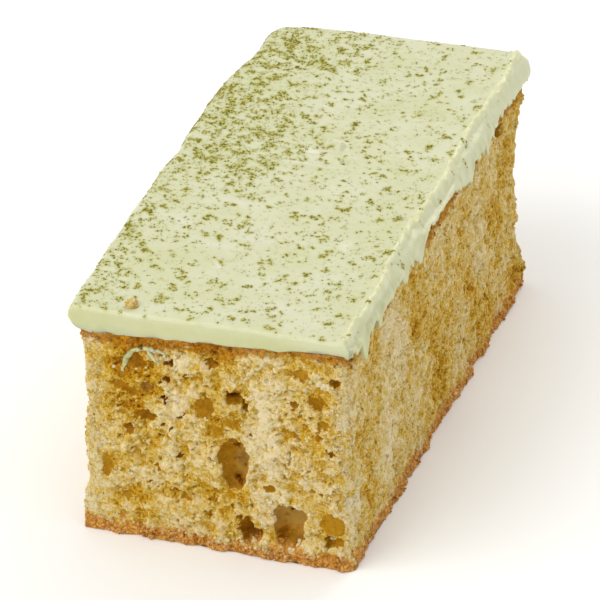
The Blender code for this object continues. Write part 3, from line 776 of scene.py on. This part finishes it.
# Soft unevenness: slow waves over the top, and streaks along the face that the knife sheared.
on_top = smooth_step(0.0, 1.0 * MM, z - middle) * smooth_step(0.2 * MM, 0.8 * MM, y - FRONT)
waves = 0.1 * MM * rough(skin, 6.0, 3, 81) + 0.025 * MM * rough(skin, 1.6, 2, 82)
skin[:, 2] += on_top * waves
on_face = smooth_step(0.6 * MM, 0.0, y - FRONT)
skin[:, 1] += on_face * 0.12 * MM * rough(skin * (1.0, 1.0, 1.6), 2.6, 3, 83)
on_side = smooth_step(CREST, SIDE_OUT, x)
skin[:, 0] += on_side * 0.1 * MM * rough(skin, 2.2, 3, 84)
on_ridge = mound(x - crest_line(y), 1.0 * MM) * on_top
skin[:, 2] += on_ridge * 0.32 * MM * rough(skin, 1.3, 3, 85)
keep_values(icing.data, "ridge", on_ridge)
wiped = np.zeros(len(skin))
for mark_x, mark_y, _, reach_x, reach_y in MARKS:
    wiped += mound(x - mark_x * MM, reach_x * MM) * mound(y - mark_y * MM, 0.8 * reach_y * MM)
keep_values(icing.data, "wiped", np.minimum(wiped, 1.0) * on_top)
set_places(icing.data, skin + np.array(SPONGE_MIDDLE))
icing.data.shade_smooth()

icing_finish, tree, place, shader = new_material("green tea icing")
up = add_node(tree, "ShaderNodeSeparateXYZ", {"Vector": place}).outputs["Z"]
clouds = add_noise(tree, place, 8.0, 3.0)
freckles = add_noise(tree, place, 0.7)
tone = add_sum(tree, 0.7, (clouds, 1.1), (freckles, 0.3))
green, pale_green, palest = tint(188, 194, 130), tint(199, 201, 155), tint(210, 211, 181)
colour = add_ramp(tree, tone, (0.0, green), (0.5, pale_green), (1.0, palest))
# Painted shade: below the top, over the sheared face and down the right side, the icing is darker
# and greener.
colour = add_mix(tree, add_step(tree, up, 45.5 * MM, FOOT_LINE), colour, tint(190, 191, 130), 0.5)
colour = add_mix(tree, add_kept(tree, "ridge"), colour, tint(222, 221, 176), 0.6)
colour = add_mix(tree, add_kept(tree, "wiped"), colour, tint(216, 214, 192), 0.6)
colour = add_mix(tree, add_kept(tree, "stain"), colour, tint(170, 168, 66), 0.8)
roughness = add_sum(tree, 0.42, (freckles, 0.25), (clouds, 0.2))
set_inputs(shader, {"Base Color": colour, "Roughness": roughness, "Specular IOR Level": 0.45})
see_through = {"Subsurface Weight": 0.45, "Subsurface Radius": (1.0, 0.9, 0.45)}
set_inputs(shader, see_through | {"Subsurface Scale": 1.2 * MM})
set_inputs(shader, {"Coat Weight": 0.3, "Coat Roughness": 0.18})
pimples = add_sum(tree, add_noise(tree, place, 0.9, 3.0), (freckles, 0.4))
add_bumps(tree, shader, pimples, 0.35, 0.12 * MM)
icing.data.materials.append(icing_finish)
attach(icing, "root")
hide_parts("icing")

# ------------ the crumbs on the sponge
# The knife left small rounded grains of the same crumb on the cut faces. They lie thickest along
# the foot and the upright edges, and make the outline of the bar rough.

NEAR_FOOT, NEAR_EDGE = 2.6 * MM, 4.0 * MM
CHANCES = {"front": 0.07, "right": 0.09, "hidden": 0.07}  # that a point of the crumb has a grain
CHANCE_AT_EDGES = 0.4
GRAIN_SHAPE, POWDER_SHAPE = (1.0, 0.85, 0.7), (1.0, 0.8, 0.55)

# Large pale crumbs on the front end: place across and up, and size, in MM.
FRONT_CRUMBS = (
    (-10.2, 36.7, 0.55), (-9.6, 37.2, 0.4), (-7.2, 35.2, 0.55), (-12.5, 36.5, 0.45),
    (-14.6, 34, 0.4), (-18.8, 33.6, 0.5), (13.2, 2.3, 0.8), (14.8, 3.7, 0.75), (14, 2.9, 0.5),
    (6.3, 2.2, 0.8), (3.3, 2.6, 0.6), (18.6, 37.1, 0.75), (19.6, 37, 0.8), (20.5, 36.9, 0.6),
    (-20.6, 18.6, 0.6), (-19.2, 18.3, 0.6), (-2, 26.2, 0.4), (20.6, 5.6, 0.8), (-5.4, 36.8, 0.6),
    (9.6, 11.6, 0.7), (11.4, 12, 0.6), (8, 3, 0.7),
)


def scatter(name, proportions, spots, lumpy, draw, names):
    """One mesh of many uneven lumps. Each spot is a place, an up direction, a size and values.
    The first name is for a value that lumps get by themselves: 0 at the top and 1 underneath, which
    the crumb's material uses as painted shade under each grain."""
    pattern = add_shape(bpy.ops.mesh.primitive_ico_sphere_add, "lump", subdivisions=1, radius=1.0)
    bpy.ops.object.mode_set(mode="EDIT")
    bpy.ops.transform.resize(value=proportions)
    bpy.ops.object.mode_set(mode="OBJECT")
    shape = get_places(pattern.data)
    corners = np.array([list(face.vertices) for face in pattern.data.polygons])
    places, faces, all_values = [], [], []
    for point, facing, size, values in spots:
        spin = Matrix.Rotation(draw.uniform(0, math.tau), 3, "Z")
        turn = facing.to_track_quat("Z", "Y").to_matrix() @ spin
        lumps = np.array([[draw.uniform(1 - lumpy, 1 + lumpy)] for _ in shape])
        faces.append(corners + len(shape) * len(places))
        places.append((shape * lumps * size) @ np.array(turn).T + np.array(point))
        # Painted shade: 0 at a lump's top and 1 underneath.
        underside_shade = (1.0 - shape[:, 2:] / np.max(shape[:, 2])) / 2
        all_values.append(np.concatenate([underside_shade, np.tile(values, (len(shape), 1))], axis=1))
    mesh = bpy.data.meshes.new(name)
    mesh.from_pydata(np.concatenate(places), [], np.concatenate(faces))
    for values, value_name in zip(np.concatenate(all_values).T, names):
        keep_values(mesh, value_name, np.ascontiguousarray(values))
    piece = bpy.data.objects.new(name, mesh)
    bpy.context.scene.collection.objects.link(piece)
    bpy.data.objects.remove(pattern)
    mesh.shade_smooth()
    return piece


def surface_of(piece):
    corners = [vertex.co for vertex in piece.data.vertices]
    return BVHTree.FromPolygons(corners, [list(face.vertices) for face in piece.data.polygons])


sponge_surface, icing_surface = surface_of(sponge), surface_of(icing)
draw = random.Random(41)
kept_there = {name: np.empty(len(sponge.data.vertices)) for name in kept}
for name, values in kept_there.items():
    sponge.data.attributes[name].data.foreach_get("value", values)
spots = {"front": [], "right": [], "hidden": []}
for i, vertex in enumerate(sponge.data.vertices):
    if kept_there["crust"][i] == 0 or kept_there["inside"][i] > 0.2:
        continue
    px, py, pz = vertex.co - SPONGE_MIDDLE
    part = "right" if px > WIDTH / 2 - 4.0 * MM else "hidden"
    if py < -LENGTH / 2 + 2.5 * MM:
        part = "front"
    chance = CHANCES[part]
    if pz < NEAR_FOOT or WIDTH / 2 - abs(px) + LENGTH / 2 - abs(py) < NEAR_EDGE:
        chance = CHANCE_AT_EDGES
    if pz > HEIGHT + 1.0 * MM or draw.random() > chance * (1.0 - min(kept_there["dip"][i], 0.9)):
        continue
    if pz > HEIGHT - 6.0 * MM and icing_surface.find_nearest(vertex.co, 0.6 * MM)[0] is not None:
        continue
    size = (0.16 + 0.25 * draw.random() ** 2) * (1.3 if pz < NEAR_FOOT else 1.0) * MM
    point = vertex.co - vertex.normal * size * 0.1
    point.z = max(point.z, 0.7 * size)
    paler = kept_there["moist"][i] - draw.uniform(-0.15, 0.4)
    spots[part].append((point, vertex.normal, size, (paler, kept_there["crust"][i])))
for px, pz, size in FRONT_CRUMBS:
    start = SPONGE_MIDDLE + Vector((px * MM, -0.1, pz * MM))
    point, facing, _, _ = sponge_surface.ray_cast(start, Vector((0, 1, 0)))
    for _ in range(5):
        aside = Vector((draw.gauss(0, 0.4), 0, draw.gauss(0, 0.4))) * size * MM
        grain_size = size * draw.uniform(0.45, 0.8) * MM
        spots["front"].append((point + aside, Vector((0, -1, 0)), grain_size, (-0.6, 0.0)))
grain_finish = crumb_finish.copy()
grain_finish.name = "loose sponge crumb"
opaque = {"Subsurface Weight": 0.0, "Specular IOR Level": 0.2}
set_inputs(grain_finish.node_tree.nodes["Principled BSDF"], opaque)
for part, its_spots in spots.items():
    # The grains' own value goes to dip, which paints shade on their undersides.
    names = ("dip", "moist", "crust")
    grains = scatter(part + "_grains", GRAIN_SHAPE, its_spots, 0.24, draw, names)
    grains.data.materials.append(grain_finish)
    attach(grains, "root")

# One loose crumb lies on the icing at the front left.
ball = {"subdivisions": 5, "radius": 0.95 * MM}
loose_crumb = add_shape(bpy.ops.mesh.primitive_ico_sphere_add, "loose_crumb", **ball)
places = get_places(loose_crumb.data)
swell = 1.0 + 0.5 * rough(places, 0.9, 4, 91) + 0.2 * rough(places, 0.35, 2, 92)
places *= swell[:, None] * (1.15, 0.95, 0.8)
start = SPONGE_MIDDLE + Vector((-16.1 * MM, -51.6 * MM, 0.1))
point, _, _, _ = icing_surface.ray_cast(start, Vector((0, 0, -1)))
set_places(loose_crumb.data, places + np.array(point) + (0.0, 0.0, 0.35 * MM))
keep_values(loose_crumb.data, "moist", np.full(len(places), 0.45))
keep_values(loose_crumb.data, "crust", np.full(len(places), -10.0))
loose_crumb.data.shade_smooth()
loose_crumb.data.materials.append(grain_finish)
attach(loose_crumb, "root")

# ------------ the icing smear
# A thin curl of icing, picked up by the knife, was wiped off on the front's upper left. It follows
# the crumb as a film, and is yellower than the rest.

# Its strands over the front end: place across and up, and half width, in MM.
SMEARS = (
    ((-17.4, 33, 0.2), (-17, 34.8, 0.55), (-16, 36.8, 0.5), (-14.6, 38, 0.3), (-12.4, 38.6, 0.4)),
    ((-12.4, 38.3, 0.25), (-11.9, 37.4, 0.3), (-11.4, 36.2, 0.45), (-10.8, 35.2, 0.2)),
    ((-12.4, 38.6, 0.25), (-11, 38.2, 0.4), (-9.7, 37.6, 0.3), (-8.8, 36.8, 0.15)),
)
for number, strand in enumerate(SMEARS):
    name = "icing_smear_" + str(number + 1)
    curve = add_shape(bpy.ops.curve.primitive_nurbs_path_add, name).data
    curve.splines.clear()
    path = curve.splines.new("NURBS")
    path.points.add(len(strand) - 1)
    for knot, (px, pz, thick) in zip(path.points, strand):
        knot.co = (*(SPONGE_MIDDLE + Vector((px * MM, 0.0, pz * MM))), 1.0)
        knot.radius = thick
    path.use_endpoint_u = True
    path.order_u = 3
    curve.bevel_depth = MM
    curve.bevel_resolution = 4
    curve.resolution_u = 10
    curve.use_fill_caps = True
    bpy.ops.object.convert(target="MESH")
    smear = bpy.context.object
    places = ragged(get_places(smear.data), 0.8, 0.22, 95)
    for i, (px, py, pz) in enumerate(places):
        point, _, _, _ = sponge_surface.ray_cast(Vector((px, -0.1, pz)), Vector((0, 1, 0)))
        places[i, 1] = point.y + 0.4 * (py - SPONGE_MIDDLE.y) - 0.06 * MM
    set_places(smear.data, places)
    keep_values(smear.data, "ridge", np.full(len(places), 0.6))
    keep_values(smear.data, "stain", np.full(len(places), 0.5 if number == 0 else 0.15))
    smear.data.shade_smooth()
    smear.data.materials.append(icing_finish)
    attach(smear, "root")

# ------------ the tea powder
# Dry green tea powder was sifted over the soft icing by hand, thickest along the left and towards
# the back. It lies in specks and clumps, olive to brown-green, and each stains the icing round it.

# Where it fell thickest: X, Y, how much thicker, and reach, in MM.
DRIFTS = (
    (-21, 45, 0.55, 9, 8), (-20, 20, 0.75, 7.5, 10), (-14, 7, 0.75, 6.5, 8), (-7, 47, 0.2, 8, 9),
    (-3, 15, 0.16, 2.5, 6), (-25, -30, 0.2, 3.5, 26), (-24, -47, 0.14, 5, 5), (-26, 12, 0.3, 3, 18),
    (-14, -4, 0.12, 9, 6), (17, 10, 0.12, 2.6, 3), (12, -7.5, 0.12, 1.8, 2.4),
    (16.2, -36, 0.25, 1.3, 2), (-5.5, -33.2, 0.25, 0.9, 1.6), (5, -37, 0.12, 1.8, 1.6),
    (-4, -20.5, 0.1, 3, 2), (21, -18, 0.12, 1.5, 7), (20.5, 16, 0.12, 1.6, 2),
)
THIN_ALL_OVER = 0.1
POWDER_TRIES = {"clump": 8500, "dust": 22000}
STAIN_REACH, STAIN_SPREAD, STAIN = 0.8 * MM, 0.35 * MM, 0.75

draw = random.Random(27)
spots = {"clump": [], "dust": []}
for kind, tries in POWDER_TRIES.items():
    for _ in range(tries):
        px, py = draw.uniform(-28.0, 24.0), draw.uniform(-54.0, 57.0)
        thick = THIN_ALL_OVER + sum(
            extra * math.exp(-(((px - dx) / rx) ** 2) - ((py - dy) / ry) ** 2)
            for dx, dy, extra, rx, ry in DRIFTS
        )
        patchy = 1.0 + 1.7 * noise.fractal(Vector((px / 2.6, py / 2.6, 3.0)), 0.7, 2.0, 3)
        if px > 21.5:
            thick *= 0.3
        if draw.random() > thick * patchy * 1.9:
            continue
        big = draw.random() ** 3 if kind == "clump" else 0.0
        reach = (0.12 + 0.34 * big) * MM
        for _ in range(1 + int(draw.random() * (1.5 + 8 * big))):
            gx, gy = px * MM + draw.gauss(0, reach), py * MM + draw.gauss(0, reach)
            above = SPONGE_MIDDLE + Vector((gx, gy, 0.1))
            point, facing, _, _ = icing_surface.ray_cast(above, Vector((0, 0, -1)))
            if point is None or facing.z < 0.3:
                continue
            if kind == "dust":
                size = (0.04 + 0.05 * draw.random()) * MM
            else:
                size = (0.07 + 0.09 * draw.random() + 0.09 * big) * MM
            spots[kind].append((point, facing, size * draw.uniform(0.8, 1.3), (draw.random(),)))

powder_finish, tree, place, shader = new_material("green tea powder")
dusty = add_sum(tree, add_kept(tree, "shade"), (add_noise(tree, place, 0.15), 0.5))
brown_green, olive, light_olive = tint(112, 101, 12), tint(142, 131, 30), tint(174, 163, 58)
colour = add_ramp(tree, dusty, (0.0, brown_green), (0.5, olive), (1.0, light_olive))
set_inputs(shader, {"Base Color": colour, "Roughness": 0.95, "Specular IOR Level": 0.15})
add_bumps(tree, shader, add_noise(tree, place, 0.08), 0.7, 0.05 * MM)
for kind, its_spots in spots.items():
    names = ("underneath", "shade")
    powder = scatter("tea_powder_" + kind, POWDER_SHAPE, its_spots, 0.34, draw, names)
    powder.data.materials.append(powder_finish)
    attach(powder, "root")

# The stain is darkest under a grain, and gone at STAIN_REACH.
places = get_places(icing.data)
top_points = np.flatnonzero(places[:, 2] > FOOT_LINE)
grid = KDTree(len(top_points))
for i, vertex in enumerate(top_points):
    grid.insert(places[vertex], i)
grid.balance()
stains = np.zeros(len(places))
for point, _, size, _ in spots["clump"] + spots["dust"]:
    strength = STAIN * (size / (0.2 * MM)) ** 2
    for _, i, distance in grid.find_range(point, STAIN_REACH):
        stains[top_points[i]] += strength * math.exp(-((distance / STAIN_SPREAD) ** 2))
keep_values(icing.data, "stain", np.minimum(stains, 1.0))
